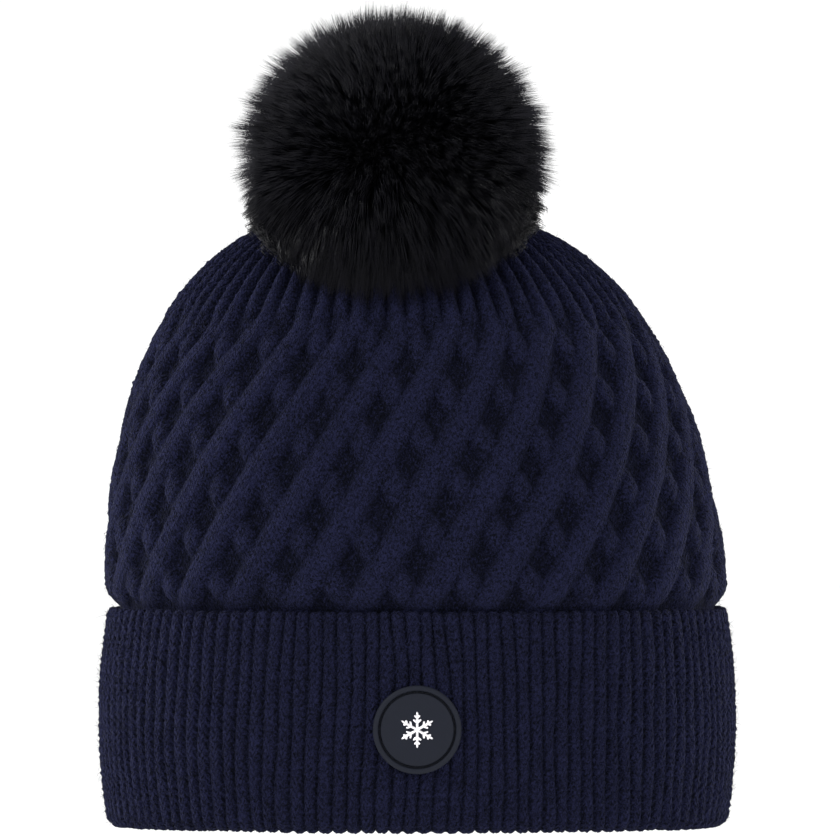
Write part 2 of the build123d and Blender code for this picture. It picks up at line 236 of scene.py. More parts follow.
def tubes(name, paths, radii, facing, sides=6, pointed=False, flatten=1.0):
    """Mesh of many tubes at once.

    Each path is a row of points with a radius at each. The section is a polygon square to
    the path, its first axis square to facing and its second squeezed by flatten. A pointed
    tube runs to a single point, and other ends are closed flat.
    """
    count, steps = paths.shape[:2]
    run = unit(np.gradient(paths, axis=1))
    side = unit(np.cross(run, facing))
    lift = np.cross(side, run)
    angle = np.arange(sides)[:, None] / sides * TURN
    ring = side[:, :, None] * np.cos(angle) + lift[:, :, None] * np.sin(angle) * flatten
    rings = steps - 1 if pointed else steps
    skin = (paths[:, :, None] + ring * radii[:, :, None, None])[:, :rings]
    skin = skin.reshape(count, rings * sides, 3)
    if pointed:
        skin = np.concatenate([skin, paths[:, -1:]], axis=1)
    base = np.arange(count)[:, None] * skin.shape[1]
    corner = np.arange(sides)
    after = (corner + 1) % sides
    here = base[:, None] + np.arange(rings - 1)[:, None] * sides
    above = here + sides
    quads = joined(here + corner, here + after, above + after, above + corner).reshape(-1, 4)
    end = base + (rings - 1) * sides + corner
    if pointed:
        end = joined(end, np.roll(end, -1, axis=1), base + rings * sides).reshape(-1, 3)
    return make_mesh(name, skin, [quads, base + corner[::-1], end])


def store(piece, name, values):
    """Keeps one number for each point of a piece, for its material to read."""
    made = piece.data.attributes.new(name=name, type="FLOAT", domain="POINT")
    made.data.foreach_set("value", np.asarray(values, np.float32).ravel())


def dress(piece, material):
    """Gives a piece one material."""
    piece.data.materials.clear()
    piece.data.materials.append(material)


def settle(piece, material, body, slot, *stands_for):
    """Gives a piece its material and body, and hides the nodes that it stands for. The slot is not
    used.
    """
    dress(piece, material)
    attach(piece, body)
    if stands_for:
        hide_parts(*stands_for)


def smooth_step(x, low, high):
    """0 below low, 1 above high, and an even S between them."""
    share = np.clip((x - low) / (high - low), 0, 1)
    return share * share * (3 - 2 * share)


def ripple(seed, places):
    """Smooth noise from about -1 to 1: the sum of eight sine waves in seeded directions.

    The last axis of places holds the coordinates, in lengths of about a sixth of a wave.
    """
    draw = np.random.default_rng(seed)
    total = 0.0
    for _ in range(8):
        phase = draw.uniform(0, TURN)
        for place in np.moveaxis(places, -1, 0):
            phase = phase + draw.uniform(0.4, 1.6) * draw.choice([-1, 1]) * place
        total = total + np.sin(phase)
    return total / 4


# ---- Shape of the hat ----
def oval_angle(share):
    """Angle on the cuff's oval at a share of the way round, measured along its edge.

    It starts at the middle of the face side and runs towards +X.
    """
    fine = np.linspace(0, TURN, 4097)
    run = travelled(EDGE_HALF[0] * np.sin(fine), -EDGE_HALF[1] * np.cos(fine))
    return np.interp(np.asarray(share) % 1.0, run / run[-1], fine)


def oval_point(angle, out, height):
    """Point a distance out from the cuff's edge oval, square to it, at a height."""
    half_width, half_depth = EDGE_HALF
    x, y = np.sin(angle), -np.cos(angle)
    normal = unit(joined(half_depth * x, half_width * y))
    return joined(
        half_width * x + normal[..., 0] * out, half_depth * y + normal[..., 1] * out, height
    )


def bow_at(height):
    """How far the cuff stands out at a height: a parabola, nothing at its two edges."""
    return CUFF_BOW * (1 - (2 * height / CUFF_TOP - 1) ** 2)


def crown_halves(height, inside=0.0):
    """Half width and half depth of the crown at a height.

    Each is its full size times a power of one less the square of the height's share.
    """
    rise = (height - CUFF_TOP) / (CROWN_RISE + CROWN_TIP - inside)
    left = np.clip(1 - rise**2, 0, 1)
    half_width = (CROWN_HALF[0] - inside) * left**CROWN_FULLNESS
    half_depth = (CROWN_HALF[1] - inside) * left**CROWN_SIDE_FULLNESS
    return half_width, half_depth


def crown_shift(height):
    """Sideways shift of the crown at a height, in proportion to its height over the cuff."""
    return CROWN_LEAN * np.clip((height - CUFF_TOP) / CROWN_RISE, 0, None)


def crown_height(x, y):
    """Height of the crown over a place on plan, by halving the height's range 24 times."""
    low, high = np.full(np.shape(x), CUFF_TOP), np.full(np.shape(x), CROWN_TOP)
    for _ in range(24):
        middle = (low + high) / 2
        half_width, half_depth = crown_halves(middle)
        inside = ((x - crown_shift(middle)) / half_width) ** 2 + (y / half_depth) ** 2 < 1
        low, high = np.where(inside, middle, low), np.where(inside, high, middle)
    return (low + high) / 2


def grid_normals(points):
    """Outward normals of a grid of points that closes both ways."""
    along = np.roll(points, -1, axis=0) - np.roll(points, 1, axis=0)
    across = np.roll(points, -1, axis=1) - np.roll(points, 1, axis=1)
    return unit(np.cross(across, along))


def rib_shape(place, height, course):
    """Relief of ribbed knit, from 0 in a groove to about 1 on a rib.

    A rib is broad and round with a sharp groove at each side, a faint crease up its middle
    and stitches that lean up and out from the crease. A purl bump lies in each groove.
    """
    offset = (place % 1.0) - 0.5
    from_groove = 1 - 2 * np.abs(offset)
    rib = 1 - (1 - from_groove) ** 2.6
    stitch = np.cos(TURN * (height / course - 0.9 * np.abs(offset)))
    crease = np.exp(-((offset / 0.09) ** 2))
    bump = np.exp(-((from_groove / 0.16) ** 2)) * np.clip(np.cos(TURN * height / course), 0, 1)
    return rib + 0.20 * stitch * from_groove - 0.12 * crease + 0.42 * bump


def lattice_shape(column, level):
    """Relief of the lattice, from 0 on the ground to about 1 on a cable.

    Cables that lean right lie on top and run unbroken. Cables that lean left dip under
    them, with a crease where they pass. A soft maximum blends the two sets.
    """
    over = np.abs((column - level + 0.5) % 1.0 - 0.5)
    under = np.abs((column + level + 0.5) % 1.0 - 0.5)
    top = np.clip(1 - (over / 0.31) ** 3.0, 0, 1) ** 0.8
    back = np.clip(1 - (under / 0.29) ** 3.0, 0, 1) ** 0.8
    dip = np.exp(-((over / 0.27) ** 4))
    back = back * (0.88 - 0.40 * dip)
    crease = 0.20 * np.exp(-(((over - 0.30) / 0.045) ** 2)) * np.clip(back, 0, 1)
    sharp = 10.0
    blend = np.log((np.exp(sharp * top) + np.exp(sharp * back)) / 2) / sharp
    return np.clip(blend, 0, None) - crease


def gather_shape(place):
    """Relief of the gathers, round on top and sharp between."""
    from_groove = 2 * np.abs(place % 1.0 - 0.5)
    return 1 - from_groove**2.4


# ---- Materials ----
def node(tree, kind, inputs=None, **settings):
    """Adds a shader node, sets its options, and fills or links its inputs.

    A node given for an input is linked by its first output that is in use.
    """
    made = tree.nodes.new("ShaderNode" + kind)
    for key, value in settings.items():
        setattr(made, key, value)
    for socket, value in (inputs or {}).items():
        if isinstance(value, bpy.types.Node):
            value = next(output for output in value.outputs if output.enabled)
        if isinstance(value, bpy.types.NodeSocket):
            tree.links.new(value, made.inputs[socket])
        else:
            made.inputs[socket].default_value = value
    return made


def start_material(name):
    """Empty node material, its node tree, and the place that its patterns follow."""
    material = bpy.data.materials.new(name)
    material.use_nodes = True
    tree = material.node_tree
    tree.nodes.clear()
    return material, tree, node(tree, "TexCoord").outputs["Object"]


def end_material(material, inputs):
    """Gives a material its shader, with these inputs, and its output."""
    tree = material.node_tree
    shader = node(tree, "BsdfPrincipled", inputs)
    node(tree, "OutputMaterial", {"Surface": shader})
    return material


def tinted(tone, share=1.0):
    """Colour with its alpha, darker or paler by a share of its light."""
    return (*[min(1.0, share * channel) for channel in tone], 1)


def brushed_wool(name, lit_ridge, shaded_valley, stitches):
    """Brushed wool-blend knit: matt, with a soft halo and loose fibres, and painted shade that
    darkens it in the grooves.

    The UV map counts wales across and courses along, so the stitch legs follow the cloth.
    """
    material, tree, place = start_material(name)
    relief = node(tree, "Attribute", attribute_name="relief").outputs["Fac"]
    # The dye is mottled in patches of about 9 mm.
    mottle = node(tree, "TexNoise", {"Vector": place, "Scale": 1 / (9.1 * MM), "Detail": 3.0})
    # Fibres are 0.02 mm; they are drawn 0.8 mm wide so that they show.
    grain = {"Scale": 1 / (0.8 * MM), "Detail": 4.0, "Roughness": 0.75, "Distortion": 1.0}
    fibre = node(tree, "TexNoise", {"Vector": place, **grain})
    contrast = 7.5
    spread = node(
        tree, "Math", {0: fibre, 1: contrast, 2: -contrast / 2}, operation="MULTIPLY_ADD"
    )
    patch = node(tree, "Math", {0: mottle, 1: 0.5, 2: -0.25}, operation="MULTIPLY_ADD")
    # Painted shade: by the knit's relief, the colour runs from the shaded valley colour in the
    # grooves to the lit ridge colour on the ridges.
    lifted = node(tree, "Math", {0: relief, 1: 0.68, 2: spread}, operation="MULTIPLY_ADD")
    lit = node(tree, "Math", {0: lifted, 1: patch}, operation="ADD", use_clamp=True)
    ends = {"A": tinted(shaded_valley), "B": tinted(lit_ridge)}
    shade = node(tree, "Mix", {"Factor": lit, **ends}, data_type="RGBA")
    # Each leg of a stitch leans out from the middle of its wale.
    cloth = node(tree, "SeparateXYZ", {"Vector": node(tree, "UVMap", uv_map="knit")})
    wale = node(tree, "Math", {0: cloth.outputs["X"], 1: 0.5}, operation="PINGPONG")
    climb = {0: wale, 1: -1.5, 2: cloth.outputs["Y"]}
    lean = node(tree, "Math", climb, operation="MULTIPLY_ADD")
    turn = node(tree, "Math", {0: lean, 1: TURN}, operation="MULTIPLY")
    legs = node(tree, "Math", {0: turn}, operation="SINE")
    height = node(tree, "Math", {0: legs, 1: stitches, 2: fibre}, operation="MULTIPLY_ADD")
    bump = node(tree, "Bump", {"Height": height, "Strength": 1.0, "Distance": 0.9 * MM})
    finish = {"Roughness": 1.0, "Specular IOR Level": 0.04, "Sheen Weight": 0.03}
    sheen = {"Sheen Roughness": 0.5, "Sheen Tint": tinted(linear("#8088c0"))}
    return end_material(material, {"Base Color": shade, "Normal": bump, **finish, **sheen})


def loose_fibre(name, tone):
    """Loose wool fibre: fine, matt and a little lighter than the cloth it stands off."""
    material, tree, place = start_material(name)
    # Single fibres differ in their dye over about 6 mm.
    tint = node(tree, "TexNoise", {"Vector": place, "Scale": 1 / (6.25 * MM), "Detail": 2.0})
    ends = {"A": tinted(tone, 0.5), "B": tinted(tone)}
    shade = node(tree, "Mix", {"Factor": tint, **ends}, data_type="RGBA")
    finish = {"Roughness": 0.9, "Specular IOR Level": 0.05}
    return end_material(material, {"Base Color": shade, **finish})


def faux_fur(name, shaded_root, tip):
    """Glossy modacrylic fur pile: painted shade makes it black at the root, and painted sheen
    makes it paler towards the tip.
    """
    material, tree, _ = start_material(name)
    along = node(tree, "Attribute", attribute_name="along").outputs["Fac"]
    tone = node(tree, "Attribute", attribute_name="tone").outputs["Fac"]
    # Painted shade and sheen: the colour climbs steeply from the shaded root to the paler tip,
    # scaled by each strand's own tone.
    rise = node(tree, "Math", {0: along, 1: 4.0}, operation="POWER")
    level = node(tree, "Math", {0: rise, 1: tone}, operation="MULTIPLY", use_clamp=True)
    ends = {"A": tinted(shaded_root), "B": tinted(tip)}
    shade = node(tree, "Mix", {"Factor": level, **ends}, data_type="RGBA")
    finish = {"Roughness": 0.4, "Specular IOR Level": 0.10}
    sheen = {"Sheen Weight": 0.01, "Sheen Tint": tinted(linear("#b9b4cc"))}
    return end_material(material, {"Base Color": shade, **finish, **sheen})


def spun_cloth(name, tone, grain, rough=0.9, depth=0.4):
    """Spun or pressed fibre, such as fleece, felt, backing cloth and thread: matt and fuzzy.

    The grain is the size of a tuft or a twist.
    """
    material, tree, place = start_material(name)
    pattern = {"Scale": 1 / grain, "Detail": 4.0, "Roughness": 0.65}
    tufts = node(tree, "TexNoise", {"Vector": place, **pattern})
    ends = {"A": tinted(tone, 0.45), "B": tinted(tone, 1.45)}
    shade = node(tree, "Mix", {"Factor": tufts, **ends}, data_type="RGBA")
    bump = node(tree, "Bump", {"Height": tufts, "Strength": depth, "Distance": grain / 2})
    finish = {"Roughness": rough, "Specular IOR Level": 0.08, "Sheen Weight": 0.02}
    return end_material(material, {"Base Color": shade, "Normal": bump, **finish})


def moulded_rubber(name, tone):
    """Moulded silicone rubber: satin, with a fine diagonal tooth from the mould and dust."""
    material, tree, place = start_material(name)
    diagonal = (0, math.radians(45), 0)
    turned = node(tree, "Mapping", {"Vector": place, "Rotation": diagonal})
    # The tooth is 0.9 mm from crest to crest, where the texture's own is TURN / 20.
    tooth = node(
        tree,
        "TexWave",
        {"Vector": turned, "Scale": TURN / 20 / (0.888 * MM), "Distortion": 0.4},
        wave_type="BANDS",
        bands_direction="X",
    ).outputs["Fac"]
    # Dust gathers in specks of about 2 mm.
    dust = node(tree, "TexNoise", {"Vector": place, "Scale": 1 / (2.38 * MM), "Detail": 5.0})
    ends = {"A": tinted(tone, 0.82), "B": tinted(tone, 1.18)}
    shade = node(tree, "Mix", {"Factor": dust, **ends}, data_type="RGBA")
    rough = node(tree, "MapRange", {"Value": dust, "To Min": 0.55, "To Max": 0.7})
    bump = node(tree, "Bump", {"Height": tooth, "Strength": 0.12, "Distance": 0.15 * MM})
    finish = {"Roughness": rough, "IOR": 1.43, "Specular IOR Level": 0.15}
    return end_material(material, {"Base Color": shade, "Normal": bump, **finish})


def plated_metal(name, tone, rough):
    """Plated or foil metal: satin, with fine brushed marks and a little wear."""
    material, tree, place = start_material(name)
    stretched = node(tree, "Mapping", {"Vector": place, "Scale": (1.0, 1.0, 14.0)})
    # Marks are 0.02 mm; they are drawn 1.1 mm long and 0.08 mm wide so that they show.
    pattern = {"Vector": stretched, "Scale": 1 / (1.11 * MM), "Detail": 3.0}
    marks = node(tree, "TexNoise", pattern)
    wear = {"Value": marks, "To Min": rough * 0.75, "To Max": rough * 1.3}
    polish = node(tree, "MapRange", wear)
    ends = {"A": tinted(tone, 0.85), "B": tinted(tone)}
    shade = node(tree, "Mix", {"Factor": marks, **ends}, data_type="RGBA")
    return end_material(material, {"Base Color": shade, "Roughness": polish, "Metallic": 1.0})


def woven_tape(name, tone):
    """Woven satin label tape: even, faintly glossy, with a fine plain weave."""
    material, tree, place = start_material(name)
    # Yarns are 0.15 mm; they are drawn 0.5 mm apart so that they show.
    checks = node(tree, "TexChecker", {"Vector": place, "Scale": 1 / (0.5 * MM)}).outputs["Fac"]
    ends = {"A": tinted(tone, 0.82), "B": tinted(tone)}
    shade = node(tree, "Mix", {"Factor": checks, **ends}, data_type="RGBA")
    bump = node(tree, "Bump", {"Height": checks, "Strength": 0.2, "Distance": 0.1 * MM})
    return end_material(material, {"Base Color": shade, "Normal": bump, "Roughness": 0.5})


def moulded_plastic(name, tone):
    """Moulded polypropylene: dark and satin, with a fine spark-eroded grain."""
    material, tree, place = start_material(name)
    # The grain is 0.4 mm.
    grain = node(tree, "TexNoise", {"Vector": place, "Scale": 1 / (0.4 * MM), "Detail": 2.0})
    rough = node(tree, "MapRange", {"Value": grain, "To Min": 0.4, "To Max": 0.6})
    bump = node(tree, "Bump", {"Height": grain, "Strength": 0.2, "Distance": 0.1 * MM})
    finish = {"Base Color": tinted(tone), "Roughness": rough, "IOR": 1.49}
    return end_material(material, {"Normal": bump, **finish})


# ---- Knitting ----
class BEANIE_OT_crown(bpy.types.Operator):
    """Knit the crown: a lattice of cables that runs up into gathers under the pom"""

    bl_idname = "beanie.crown"
    bl_label = "Crown"

    def execute(self, context):
        knit = context.scene.beanie_knit
        columns, wall_rows, top_rows, inner_rows = knit.cables * 20, 142, 14, 20
        share = np.arange(columns) / columns
        angle = oval_angle(share)

        # Outside: up the neck, round the roll over the cuff, up the wall to the gathered top.
        fine = np.linspace(CUFF_TOP + 0.4 * MM, CROWN_TOP, 2000)
        half_width, half_depth = crown_halves(fine)
        run = travelled((half_width + half_depth) / 2, fine)
        wall = np.interp(np.linspace(0, run[-1], wall_rows), run, fine)
        half_width, half_depth = crown_halves(wall)
        roll = 4.2 * MM * np.clip(1 - (wall - wall[0]) / (9 * MM), 0, 1) ** 2
        outer = joined(half_width - roll, half_depth - roll, wall)
        neck_half = RIB_HALF[:2]
        neck = np.array([[*neck_half, CROWN_NECK], [*neck_half, (CROWN_NECK + wall[0]) / 2]])
        hole = 3.0 * MM
        pull = np.linspace(1, 0, top_rows + 1)[1:]
        rim_width, rim_depth = outer[-1, :2] - hole
        top = joined(hole + rim_width * pull, hole + rim_depth * pull, CROWN_TOP)
        # Inside: back from the hole, down the wall to the neck.
        under = CROWN_TOP - CROWN_WALL
        inner_z = np.linspace(under, CUFF_TOP + 5 * MM, inner_rows)
        inner = joined(*crown_halves(inner_z, CROWN_WALL), inner_z)
        ends = np.array([[hole, hole, under], [*(neck_half - RIB_PLY), CROWN_NECK]])
        profile = np.concatenate([neck, outer, top, ends[:1], inner, ends[1:]])

        width, depth, height = (profile[:, axis, None] for axis in range(3))
        x = crown_shift(height) + width * np.sin(angle)
        points = joined(x, -depth * np.cos(angle), height)

        # The lattice keeps its number of cables, so they crowd together as the crown narrows.
        drift = 0.07 * ripple(11, points / (np.array([26, 26, 20]) * MM))
        column = share * knit.cables + drift
        level = (height - CUFF_TOP) / knit.cell_height + 0.06 * ripple(12, points / (24 * MM))
        gathered = smooth_step(height, CUFF_TOP + 94 * MM, CUFF_TOP + 114 * MM)
        gathers = gather_shape(share * knit.gathers + 4.5 * drift)
        relief = lattice_shape(column, level) * (1 - gathered) + gathers * gathered
        relief = relief * (1 + 0.10 * ripple(13, points / (12 * MM)))
        outside = np.zeros(len(profile))
        first, last = len(neck), len(neck) + wall_rows
        outside[first:last] = 1.0
        roll_rows = 6
        outside[first : first + roll_rows] = np.linspace(0.2, 1, roll_rows)
        outside[last : last + top_rows] = np.linspace(1, 0.1, top_rows)
        nap = np.random.default_rng(14).normal(0, 0.20 * MM, relief.shape)
        middle_relief = 0.66
        lift = ((relief - middle_relief) * knit.cable_relief + nap) * outside[:, None]
        points = points + grid_normals(points) * lift[..., None]

        wales, courses = knit.cables * 10, 75
        piece = surface("crown_knit", points, uv=(wales, courses))
        # The relief also sets the wool's painted shade, darker in the grooves.
        store(piece, "relief", np.clip(relief, 0, 1) * 0.9 + 0.05)
        wool = brushed_wool("wool_cable_knit", knit.lit_ridge_colour, knit.shaded_valley_colour, 0.3)
        settle(piece, wool, "hat", "cable_knit", "crown_shell")
        return {"FINISHED"}


def ribbed_tube(name, knit, per_rib, profile, proud, courses):
    """Ribbed knit carried round the cuff's oval along a closed profile of (out, height).

    proud says how much of the rib relief each row of the profile takes. The ribs wander a
    little sideways, and the grid wanders with them, so each groove stays on a grid line.
    """
    columns = knit.ribs * per_rib
    share = np.arange(columns)[None, :] / columns
    out, height = profile[:, :1], profile[:, 1:]
    around = share * TURN

    def wave(seed, turns, size):
        """Noise that has no seam, on a circle of turns by height over size."""
        return ripple(seed, joined(turns * np.sin(around), turns * np.cos(around), height / size))

    wander = 0.35 * wave(21, 3, 28 * MM) + 0.10 * wave(22, 30, 9 * MM)
    points = oval_point(oval_angle(share + wander / knit.ribs), out, height)
    slip = 0.35 * wave(23, 9, 40 * MM)
    relief = rib_shape(share * knit.ribs, height + slip * knit.course, knit.course)
    tension = 1 + 0.12 * wave(24, 25, 6 * MM)
    nap = np.random.default_rng(25).normal(0, 0.14 * MM, relief.shape)
    middle_relief = 0.85
    lift = ((relief * tension - middle_relief) * knit.rib_relief + nap) * proud[:, None]
    points = points + grid_normals(points) * lift[..., None]
    points[..., 2] = np.clip(points[..., 2], 0, None)
    piece = surface(name, points, uv=(knit.ribs * 2, courses))
    # The relief also sets the wool's painted shade, darker in the grooves.
    store(piece, "relief", np.clip(relief, 0, 1) * 0.95)
    return piece


class BEANIE_OT_cuff(bpy.types.Operator):
    """Knit the turned-up cuff, from its cast-off edge down round the fold"""

    bl_idname = "beanie.cuff"
    bl_label = "Cuff"

    def execute(self, context):
        knit = context.scene.beanie_knit
        wall_rows, edge_rows, inner_rows, fold_rows = 66, 7, 6, 12
        fold = RIB_PLY + PLY_GAP / 2  # radius of the fold's outside
        shoulder = CUFF_TOP - CUFF_LIP
        # Up the outside, over the edge in a half oval, down inside and round the fold.
        wall_z = np.linspace(fold, shoulder, wall_rows)
        wall = joined(bow_at(wall_z), wall_z)
        turn = np.linspace(0, math.pi, edge_rows + 2)[1:-1]
        edge = joined(RIB_PLY / 2 * (np.cos(turn) - 1), shoulder + CUFF_LIP * np.sin(turn))
        inner_z = np.linspace(shoulder, fold, inner_rows)
        inner = joined(bow_at(inner_z) - RIB_PLY, inner_z)
        tuck = np.array([[-fold, fold - 0.2 * MM], [-2 * fold + 0.3 * MM, fold - 0.3 * MM]])
        turn = np.linspace(0, math.pi, fold_rows + 2)[1:-1]
        # Ribs stand down from the fold, so the fold is lifted to keep them off the table.
        lowest = fold + 0.25 * knit.rib_relief
        under = joined(-fold - fold * np.cos(turn), lowest - fold * np.sin(turn))
        profile = np.concatenate([wall, edge, inner, tuck, under])
        proud = np.concatenate(
            [
                np.ones(wall_rows),
                np.linspace(0.9, 0.3, edge_rows),
                np.full(inner_rows, 0.15),
                np.zeros(len(tuck)),
                np.linspace(0.3, 1, fold_rows),
            ]
        )
        piece = ribbed_tube("cuff_knit", knit, 8, profile, proud, 34)
        wool = brushed_wool("wool_rib_knit", knit.lit_ridge_colour, knit.shaded_valley_colour, 0.5)
        settle(piece, wool, "cuff", "rib_knit", "cuff_turn_up")
        return {"FINISHED"}


class BEANIE_OT_band(bpy.types.Operator):
    """Knit the inner ply of the rib, which shows when the cuff is turned down"""

    bl_idname = "beanie.band"
    bl_label = "Rib band"

    def execute(self, context):
        low, high = RIB_MIDDLE[2] - RIB_HALF[2], RIB_MIDDLE[2] + RIB_HALF[2]
        rows, inner_rows = 46, 5
        face = -RIB_PLY - PLY_GAP - 0.6 * MM
        outer = joined(face, np.linspace(low + 0.5 * MM, high - 0.2 * MM, rows))
        inner = joined(-2 * RIB_PLY - PLY_GAP, np.linspace(high, low, inner_rows))
        profile = np.concatenate([outer, inner])
        proud = np.concatenate([np.full(rows, 0.55), np.zeros(inner_rows)])
        piece = ribbed_tube("rib_band_knit", context.scene.beanie_knit, 6, profile, proud, 32)
        settle(piece, bpy.data.materials["wool_rib_knit"], "hat", "rib_knit", "rib_band")
        return {"FINISHED"}


def fibres(name, roots, normals, seed, reach, width):
    """Loose fibres that start on a surface, lie over it and lift at their ends.

    Each is a bent line of three points: its root, a middle a short way off the surface and
    a tip that curls aside.
    """
    draw = np.random.default_rng(seed)
    count = len(roots)
    aside = unit(np.cross(normals, draw.normal(size=(count, 3))))
    curl = np.cross(normals, aside)
    size = reach * draw.uniform(0.4, 1.5, (count, 1))
    lift = draw.uniform(0.15, 0.75, (count, 1))
    bend = draw.normal(0, 0.5, (count, 1))
    middle = roots + size * (0.5 * aside + 0.45 * lift * normals)
    tip = middle + size * (0.5 * aside + bend * curl + (lift - 0.35) * normals)
    paths = np.stack([roots - 0.2 * MM * normals, middle, tip], axis=1)
    paths[..., 2] = np.clip(paths[..., 2], 0.1 * MM, None)
    radii = np.broadcast_to(np.array([1.0, 0.8, 0.1]) * width / 2, (count, 3))
    return tubes(name, paths, radii, normals[:, None, :] + 0.01, sides=3, pointed=True)


def scattered(mesh, count, seed, low):
    """Points and normals on a mesh's faces that look out and lie above low, chosen by area."""
    draw = np.random.default_rng(seed)
    total = len(mesh.polygons)
    centre, normal, area = np.empty((total, 3)), np.empty((total, 3)), np.empty(total)
    mesh.polygons.foreach_get("center", centre.ravel())
    mesh.polygons.foreach_get("normal", normal.ravel())
    mesh.polygons.foreach_get("area", area)
    outward = (centre[:, :2] * normal[:, :2]).sum(1) > -0.2 * np.abs(normal[:, 2])
    weight = area * outward * (centre[:, 2] > low)
    pick = draw.choice(total, count, p=weight / weight.sum())
    jitter = draw.normal(0, 0.4 * MM, (count, 3))
    jitter -= (jitter * normal[pick]).sum(1, keepdims=True) * normal[pick]
    return centre[pick] + jitter, normal[pick]


class BEANIE_OT_fuzz(bpy.types.Operator):
    """Raise the brushed wool's loose fibres on the crown and the cuff"""

    bl_idname = "beanie.fuzz"
    bl_label = "Wool fuzz"

    def execute(self, context):
        material = loose_fibre("wool_fibre", context.scene.beanie_knit.fuzz_colour)
        for number, (name, source, body, slot, count, low) in enumerate(
            (
                ("crown_fuzz", "crown_knit", "hat", "cable_knit", 17000, CUFF_TOP),
                ("cuff_fuzz", "cuff_knit", "cuff", "rib_knit", 14000, 1.5 * MM),
            )
        ):
            roots, normals = scattered(bpy.data.objects[source].data, count, 41 + number, low)
            piece = fibres(name, roots, normals, 51 + number, 2.0 * MM, 0.10 * MM)
            settle(piece, material, body, slot)
        return {"FINISHED"}


# ---- Lining and label ----
class BEANIE_OT_lining(bpy.types.Operator):
    """Lay the fleece band inside the cuff and hang the blank label on it"""

    bl_idname = "beanie.lining"
    bl_label = "Lining and label"

    def execute(self, context):
        knit = context.scene.beanie_knit
        columns, rows = 300, 26
        low, high = LINING_MIDDLE[2] - LINING_HALF[2], LINING_MIDDLE[2] + LINING_HALF[2]
        outer = LINING_HALF[0] - EDGE_HALF[0]
        ply, round_off = 2.0 * MM, 0.5 * MM
        middle = outer - ply / 2
        up = np.linspace(low + round_off, high - round_off, rows)
        sides = joined(outer - 0.1 * MM, up), joined(outer - ply, up[::-1])
        profile = np.concatenate([sides[0], [[middle, high]], sides[1], [[middle, low]]])
        share = np.arange(columns)[None, :] / columns
        points = oval_point(oval_angle(share), profile[:, :1], profile[:, 1:])
        # Its inner face has a pile of about 2 mm and sags a little between its stitches.
        pile = ripple(31, points / (2.2 * MM))
        sag = ripple(32, points / (14 * MM))
        inside = np.zeros(len(profile))
        inside[rows + 1 : 2 * rows + 1] = 1.0
        lift = (0.10 * MM * pile + 0.15 * MM * sag) * inside[:, None]
        band = surface("fleece_band", points + grid_normals(points) * lift[..., None])
        fleece = spun_cloth("brushed_fleece", knit.lining_colour, 1.1 * MM)
        settle(band, fleece, "hat", "fleece", "lining_band")

        # The label is a flat tape whose lower end curls a little towards the head.
        across = np.linspace(-1, 1, 24) * (LABEL_HALF[0] - 0.1 * MM)
        down = np.linspace(0, 1, 36)[:, None]
        height = LABEL_MIDDLE[2] + LABEL_HALF[2] - down * 2 * LABEL_HALF[2]
        curl = 1.6 * MM * down**2 + 0.25 * MM * np.sin(across / (4 * MM) + 6 * down)
        tape = 0.4 * MM
        front = joined(across, LABEL_MIDDLE[1] - tape / 2 - curl, height)
        back = front[:, ::-1] + np.array([0, tape, 0])
        loop = np.concatenate([front, back], axis=1)
        label = surface("label_tape", loop, along=False, caps=True)
        woven = woven_tape("woven_label_tape", knit.label_colour)
        settle(label, woven, "label", "label_cloth", "care_label")
        return {"FINISHED"}


# ---- Badge ----
def badge_point(across, up, proud):
    """Point on the badge: a place on its face, and a distance out from the fullest cuff."""
    half_width, half_depth = CUFF_HALF[0] + proud, CUFF_HALF[1] + proud
    face = -half_depth * np.sqrt(1 - (across / half_width) ** 2)
    return joined(across, face, BADGE_MIDDLE[2] + up)


def snowflake_bars(arm):
    """Feet, tips and half widths of a snowflake: six arms, each with two pairs of twigs."""
    bars = []
    for turn in (np.arange(6) / 6 + 0.25) * TURN:
        way = np.array([math.cos(turn), math.sin(turn)])
        bars.append((0 * way, arm * way, 0.50 * MM))
        for foot, size in ((0.38, 1.9 * MM), (0.66, 1.35 * MM)):
            for lean in (turn - math.radians(48), turn + math.radians(48)):
                base = arm * foot * way
                twig = size * np.array([math.cos(lean), math.sin(lean)])
                bars.append((base, base + twig, 0.40 * MM))
    return (np.array(part) for part in zip(*bars))


